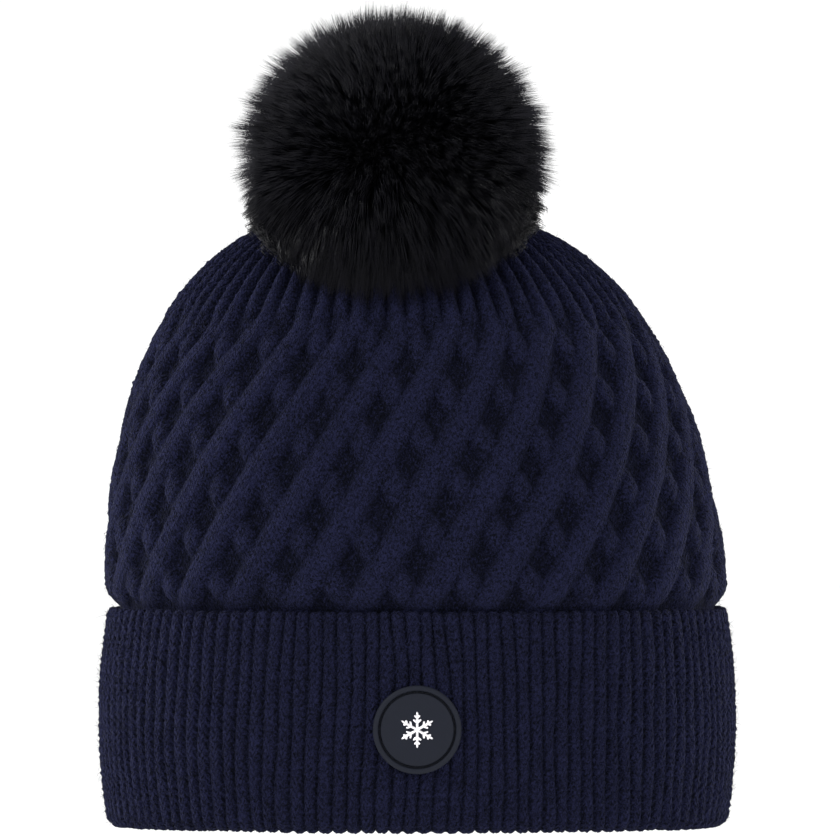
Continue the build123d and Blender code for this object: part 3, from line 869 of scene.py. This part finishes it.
class BEANIE_OT_badge(bpy.types.Operator):
    """Mould the round badge, sew it on and print its snowflake"""

    bl_idname = "beanie.badge"
    bl_label = "Badge"

    def execute(self, context):
        trim = context.scene.beanie_trim
        radius = BADGE_HALF[0]
        back, front = PLY_GAP, PLY_GAP + BADGE_FACE
        groove = radius - 2.35 * MM  # middle of the sewn groove
        # Out over the face, down through the groove, up over the rim and in on the back.
        face = [(reach * MM, front) for reach in (1.0, 4.0, 8.0, 11.0)]
        trough = ((-0.75, 0), (-0.52, -0.05), (-0.42, -0.25), (-0.36, -0.80), (0.32, -0.80))
        brim = ((0.42, -0.20), (0.54, 0.25), (0.75, 0.50), (1.20, 0.60), (1.60, 0.56))
        corner = ((2.00, 0.38), (2.25, 0.05))
        rim = [(groove + out * MM, front + up * MM) for out, up in trough + brim + corner]
        side = [(radius, front - 0.40 * MM), (radius - 0.02 * MM, back + 0.50 * MM)]
        side += [(radius - 0.15 * MM, back + 0.12 * MM), (radius - 0.50 * MM, back)]
        profile = np.array(face + rim + side + [(radius / 2, back), (1.0 * MM, back)])
        turn = np.arange(144)[None, :] / 144 * TURN
        reach, proud = profile[:, :1], profile[:, 1:]
        points = badge_point(reach * np.cos(turn), reach * np.sin(turn), proud)
        disc = surface("badge_moulding", points, along=False, poles=True)
        rubber = moulded_rubber("silicone_rubber", trim.rubber_colour)
        settle(disc, rubber, "cuff", "badge_rubber", "badge_disc")

        # Sewn stitches: short humped threads along the groove.
        count, steps, stitch = 40, 7, 1.75 * MM
        along = np.linspace(-0.5, 0.5, steps)
        angle = (np.arange(count) + 0.5)[:, None] / count * TURN + along * stitch / groove
        hump = front - 0.95 * MM + 0.45 * MM * (1 - (2 * along) ** 4)
        paths = badge_point(groove * np.cos(angle), groove * np.sin(angle), hump)
        radii = np.broadcast_to(0.26 * MM * (1 - 0.35 * (2 * along) ** 4), paths.shape[:2])
        outwards = np.array([0.0, 1.0, 0.0])
        thread = tubes("badge_thread", paths, radii, outwards, sides=6)
        bonded = spun_cloth("bonded_thread", linear("#0c0e14"), 0.25 * MM, 0.8, 0.3)
        settle(thread, bonded, "cuff", "badge_thread", "badge_stitching")

        # Snowflake: low rounded bars that taper at both ends.
        feet, tips, widths = snowflake_bars(6.4 * MM)
        share = np.linspace(0, 1, 9)[None, :, None]
        flat = feet[:, None] * (1 - share) + tips[:, None] * share
        paths = badge_point(flat[..., 0], flat[..., 1], front + 0.05 * MM)
        radii = widths[:, None] * (1 - 0.45 * np.abs(2 * share[..., 0] - 1) ** 5)
        flake = tubes("badge_snowflake", paths, radii, outwards, sides=10, flatten=0.75)
        silver = plated_metal("silver_transfer", trim.silver_colour, 0.32)
        settle(flake, silver, "cuff", "emblem_silver", "badge_emblem")
        return {"FINISHED"}


# ---- Finishes on the frame's own pieces ----
class BEANIE_OT_fittings(bpy.types.Operator):
    """Finish the snap, the felt, the base disc and the sewing thread"""

    bl_idname = "beanie.fittings"
    bl_label = "Snap and thread"

    def execute(self, context):
        trim = context.scene.beanie_trim
        metal = plated_metal("black_nickel", trim.metal_colour, 0.28)
        thread = spun_cloth("sewing_thread", trim.thread_colour, 0.3 * MM, 0.7)
        felt = spun_cloth("pressed_felt", linear("#171928"), 0.8 * MM)
        plastic = moulded_plastic("polypropylene", linear("#101013"))
        seams = ("back_seam_thread", "lining_stitches", "label_tack")
        for material, names in (
            (metal, ("snap_stud", "stud_washer", "snap_spring", "snap_socket", "socket_rivet")),
            (thread, (*seams, "crown_gather_thread", "pom_drawstring")),
            (felt, ("crown_felt",)),
            (plastic, ("pom_base_disc",)),
        ):
            for name in names:
                dress(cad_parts[name], material)
        return {"FINISHED"}


# ---- Pom ----
def off_crown(points, clear):
    """Moves points that are inside the crown out to a clearance over it.

    Each goes up and away from the middle plane along the crown's slope from front to back,
    by two Newton steps on the height of the crown. It never moves sideways, so a round
    outline seen from the face stays round.
    """
    probe = 0.5 * MM
    for _ in range(2):
        x, y, z = np.moveaxis(points, -1, 0)
        ground = crown_height(x, y)
        slope = (crown_height(x, y + probe) - ground) / probe
        steep = np.sqrt(1 + slope**2)
        sunk = np.clip(ground + clear * steep - z, 0, None) / steep**2
        sunk = np.where(ground > CUFF_TOP + 5 * MM, sunk, 0)
        points = points + joined(0, -slope * sunk, sunk)
    return points


def ball_directions(count, seed, spread):
    """Unit vectors spread evenly over a ball by the golden angle, then shaken."""
    draw = np.random.default_rng(seed)
    step = np.arange(count) + 0.5
    up = 1 - 2 * step / count
    around = step * math.pi * (1 + 5**0.5)
    flat = np.sqrt(1 - up**2)
    made = joined(flat * np.cos(around), flat * np.sin(around), up)
    return unit(made + draw.normal(0, spread, made.shape))


class BEANIE_OT_pouch(bpy.types.Operator):
    """Stuff the pom's pouch, drawn in round the drawstring, and cover it with underfur"""

    bl_idname = "beanie.pouch"
    bl_label = "Pom pouch"

    def execute(self, context):
        # The pouch is a ball cut flat below, with pleats round its drawn-in mouth.
        low = POUCH_MIDDLE[2] - POUCH_HALF[2]
        radius = POUCH_HALF[0]
        rows, columns = 60, 128
        turn = np.arange(columns) / columns * TURN
        tilt = np.linspace(0.03, math.pi - 0.03, rows)[:, None]
        reach = radius * np.sin(tilt)
        height = POUCH_MIDDLE[2] + POUCH_HALF[2] - radius + radius * np.cos(tilt)
        flat = smooth_step(-height, -low - 3 * MM, -low + 6 * MM)
        height = np.maximum(height, low + 0.6 * MM * (1 - flat))
        pleat = 0.9 * MM * np.cos(16 * turn) * flat * smooth_step(reach, 3 * MM, 12 * MM)
        x, y = POUCH_MIDDLE[0] + reach * np.cos(turn), POUCH_MIDDLE[1] + reach * np.sin(turn)
        points = joined(x, y, height + np.clip(pleat, 0, None))
        pouch = surface("pom_pouch", points[::-1], along=False, poles=True)
        backing = spun_cloth("fur_backing", linear("#0b0b0e"), 1.0 * MM)
        settle(pouch, backing, "pom", "fur_backing", "pom_backing", "pom_stuffing")

        # Underfur: a dense tufted ball, open over the snap, that the long pile grows through.
        rows, columns = 110, 220
        turn = np.arange(columns) / columns * TURN
        tilt = np.linspace(0.02, math.pi - 1.17, rows)[:, None]
        way = joined(np.sin(tilt) * np.cos(turn), np.sin(tilt) * np.sin(turn), np.cos(tilt))
        tuft = ripple(61, way * 16) + 0.5 * ripple(62, way * 40)
        size = np.array([41.0, 41.0, 40.0]) * MM + tuft[..., None] * 1.6 * MM
        points = BALL_MIDDLE + way * size
        under = surface("pom_underfur", points[::-1], along=False, poles=True)
        down = spun_cloth("underfur", linear("#060609"), 1.4 * MM, 0.95, 0.8)
        settle(under, down, "pom", "fur_pile")
        return {"FINISHED"}


class BEANIE_OT_fur(bpy.types.Operator):
    """Grow the pom's long pile in tufts that splay, droop and drape over the crown"""

    bl_idname = "beanie.fur"
    bl_label = "Fur pile"

    def execute(self, context):
        pom = context.scene.beanie_pom
        total = pom.strands * pom.groups
        draw = np.random.default_rng(71)
        way = ball_directions(total, 72, 0.012)
        tufts = ball_directions(4200, 73, 0.012)
        blocks = np.array_split(way, math.ceil(total / 4000))
        nearest = np.concatenate([(block @ tufts.T).argmax(1) for block in blocks])
        tuft_draw = draw.normal(size=(len(tufts), 3))
        # Wide patches of fur comb the same way, and each tuft leans a little of its own.
        comb = np.stack([ripple(74 + axis, tufts * 3.0) for axis in range(3)], axis=-1)
        comb = (0.10 * comb + 0.045 * tuft_draw)[nearest] + draw.normal(0, 0.03, (total, 3))
        comb -= (comb * way).sum(1, keepdims=True) * way
        outer = 1 / np.linalg.norm(way / FUR_REACH, axis=1)
        tuft_long = np.clip(1 + 0.030 * tuft_draw[nearest, 0], 0.9, 1.07)
        stray = np.where(draw.random(total) < 0.02, draw.uniform(1.0, 1.06, total), 1.0)
        trim = draw.uniform(0.92, 1.0, total) * tuft_long * stray
        # Fur that meets the crown is combed out longer, so that it hangs over the shoulder.
        lower = smooth_step(-way[:, 2], 0.0, 0.75)
        full = outer * trim * (1 + 0.42 * lower)
        root_reach = outer - pom.pile

        steps = 4
        point = off_crown(BALL_MIDDLE + way * root_reach[:, None], 1.0 * MM)
        # Low roots stand outside the base disc and lead outwards.
        arm = point[:, :2] - STUD_MIDDLE[:2]
        arm_long = np.linalg.norm(arm, axis=1, keepdims=True)
        low = smooth_step(-point[:, 2:], -DISC_TOP - 4 * MM, -DISC_TOP)
        point[:, :2] += unit(arm) * np.clip(DISC_HALF[0] + 1.5 * MM - arm_long, 0, None) * low
        path = [point]
        step = ((full - root_reach) / (steps - 1))[:, None]
        heading = way.copy()
        heading[:, 2] *= 1 - 0.70 * lower
        heading[:, :2] += 0.5 * lower[:, None] * unit(arm)
        heading = unit(heading)
        pull = (tufts[nearest] - way) * 1.3
        clear = draw.uniform(0.6, 3.2, total) * MM
        for share in np.arange(1, steps) / (steps - 1):
            heading = heading + share * (comb + 0.6 * pull)
            heading[:, 2] -= 0.05 * share + 0.55 * lower * share
            moved = off_crown(point + unit(heading) * step, clear) - BALL_MIDDLE
            # The fur ends on the ball's round outline seen from the face, and on an oval
            # seen from above that leaves it room to hang over the front and the back.
            narrow = FUR_REACH[0] - 0.12 * np.clip(-moved[:, 2], 0, None)
            over = np.hypot(moved[:, 0] / narrow, moved[:, 2] / FUR_REACH[2]) / trim
            moved[:, [0, 2]] /= np.clip(over, 1, None)[:, None]
            over = np.hypot(moved[:, 0] / FUR_REACH[0], moved[:, 1] / pom.hang) / trim
            moved[:, :2] /= np.clip(over, 1, None)[:, None]
            moved = off_crown(moved + BALL_MIDDLE, 0.5 * clear)
            heading = unit(moved - point)
            point = moved
            path.append(point)
        paths = np.stack(path, axis=1)
        width = pom.strand_width / 2 * draw.uniform(0.7, 1.25, (total, 1))
        radii = np.array([1.0, 1.0, 0.75, 0.1]) * width
        tone = np.clip(draw.normal(0.72, 0.20, total) + 0.12 * tuft_draw[nearest, 1], 0.15, 1.3)

        material = faux_fur("modacrylic_fur", pom.shaded_root_colour, pom.sheen_tip_colour)
        sides = 3
        along = np.append(np.repeat(np.linspace(0, 1, steps)[:-1], sides), 1.0)
        facing = np.array([0.31, 0.52, 0.79])
        for first in range(pom.groups):
            mine = slice(first, None, pom.groups)
            name = f"fur_pile_{first + 1}"
            piece = tubes(name, paths[mine], radii[mine], facing, sides, pointed=True)
            # The share along each strand sets its painted shade at the root and its painted sheen
            # at the tip.
            store(piece, "along", np.tile(along, len(paths[mine])))
            store(piece, "tone", np.repeat(tone[mine], len(along)))
            stands_for = ["pom_fur_pile"] if first == 0 else []
            settle(piece, material, "pom", "fur_pile", *stands_for)
        return {"FINISHED"}


# ---- Stage ----
class BEANIE_OT_stage(bpy.types.Operator):
    """Set the pale floor, the soft studio lights and the camera"""

    bl_idname = "beanie.stage"
    bl_label = "Stage"

    def execute(self, context):
        scene = context.scene
        scene.view_settings.view_transform = "Standard"
        # The floor is low enough for the cuff to turn down over it.
        size = 9.0
        corners = [[-size, -size, -CUFF_TOP], [size, -size, -CUFF_TOP]]
        corners += [[size, size, -CUFF_TOP], [-size, size, -CUFF_TOP]]
        floor = make_mesh("studio_floor", corners, [np.array([[0, 1, 2, 3]])], smooth=False)
        # Matt paint, almost white, with a roller's mottle of about 17 mm.
        material, tree, place = start_material("painted_floor")
        roller = node(tree, "TexNoise", {"Vector": place, "Scale": 1 / (16.7 * MM)})
        ends = {"A": (0.93, 0.93, 0.93, 1), "B": (0.96, 0.96, 0.96, 1)}
        shade = node(tree, "Mix", {"Factor": roller, **ends}, data_type="RGBA")
        dress(floor, end_material(material, {"Base Color": shade, "Roughness": 0.9}))

        world = bpy.data.worlds.new("studio")
        world.use_nodes = True
        background = world.node_tree.nodes["Background"]
        background.inputs["Color"].default_value = (1, 1, 1, 1)
        background.inputs["Strength"].default_value = 1.08
        scene.world = world

        aim = Vector((0, 0, 0.15))
        for name, place, wide, power in (
            ("key", (-1.2, -0.8, 1.2), 0.7, 20),
            ("fill", (1.2, -1.0, 0.5), 0.9, 9),
            ("rim_left", (-1.2, 0.5, 0.6), 0.5, 25),
            ("rim_right", (1.1, 0.7, 0.5), 0.5, 18),
        ):
            light = bpy.data.lights.new(name, "AREA")
            light.size = wide
            light.energy = power
            lamp = bpy.data.objects.new(name, light)
            lamp.location = place
            lamp.rotation_euler = (aim - Vector(place)).to_track_quat("-Z", "Y").to_euler()
            scene.collection.objects.link(lamp)

        # The camera is far off, for an even view, and frames a square as tall as the hat.
        distance, tall, rise = 6.0, 302.4 * MM, math.radians(0.5)
        camera_data = bpy.data.cameras.new("camera")
        camera_data.sensor_width = 36.0
        camera_data.lens = camera_data.sensor_width * distance / tall
        camera = bpy.data.objects.new("camera", camera_data)
        offset = Vector((0, -distance * math.cos(rise), distance * math.sin(rise)))
        camera.location = Vector((1.0 * MM, 0, 146.5 * MM)) + offset
        camera.rotation_euler = (-offset).to_track_quat("-Z", "Y").to_euler()
        scene.collection.objects.link(camera)
        scene.camera = camera
        return {"FINISHED"}


STEPS = (
    BEANIE_OT_stage,
    BEANIE_OT_crown,
    BEANIE_OT_cuff,
    BEANIE_OT_band,
    BEANIE_OT_fuzz,
    BEANIE_OT_lining,
    BEANIE_OT_badge,
    BEANIE_OT_fittings,
    BEANIE_OT_pouch,
    BEANIE_OT_fur,
)


class BEANIE_PT_panel(bpy.types.Panel):
    """Sidebar panel with every step of the beanie and its settings"""

    bl_idname = "BEANIE_PT_panel"
    bl_label = "Pom pom beanie"
    bl_space_type = "VIEW_3D"
    bl_region_type = "UI"
    bl_category = "Beanie"

    def draw(self, context):
        for step in STEPS:
            self.layout.operator(step.bl_idname)
        scene = context.scene
        for group in (scene.beanie_knit, scene.beanie_pom, scene.beanie_trim):
            box = self.layout.box()
            for key in group.__annotations__:
                box.prop(group, key)


CLASSES = (BeanieKnit, BeaniePom, BeanieTrim, *STEPS, BEANIE_PT_panel)


def register():
    for entry in CLASSES:
        bpy.utils.register_class(entry)
    bpy.types.Scene.beanie_knit = PointerProperty(type=BeanieKnit)
    bpy.types.Scene.beanie_pom = PointerProperty(type=BeaniePom)
    bpy.types.Scene.beanie_trim = PointerProperty(type=BeanieTrim)


def unregister():
    del bpy.types.Scene.beanie_trim
    del bpy.types.Scene.beanie_pom
    del bpy.types.Scene.beanie_knit
    for entry in reversed(CLASSES):
        bpy.utils.unregister_class(entry)


def main():
    """Builds every piece in order."""
    register()
    for step in STEPS:
        group, name = step.bl_idname.split(".")
        getattr(getattr(bpy.ops, group), name)()


if __name__ == "__main__":
    main()
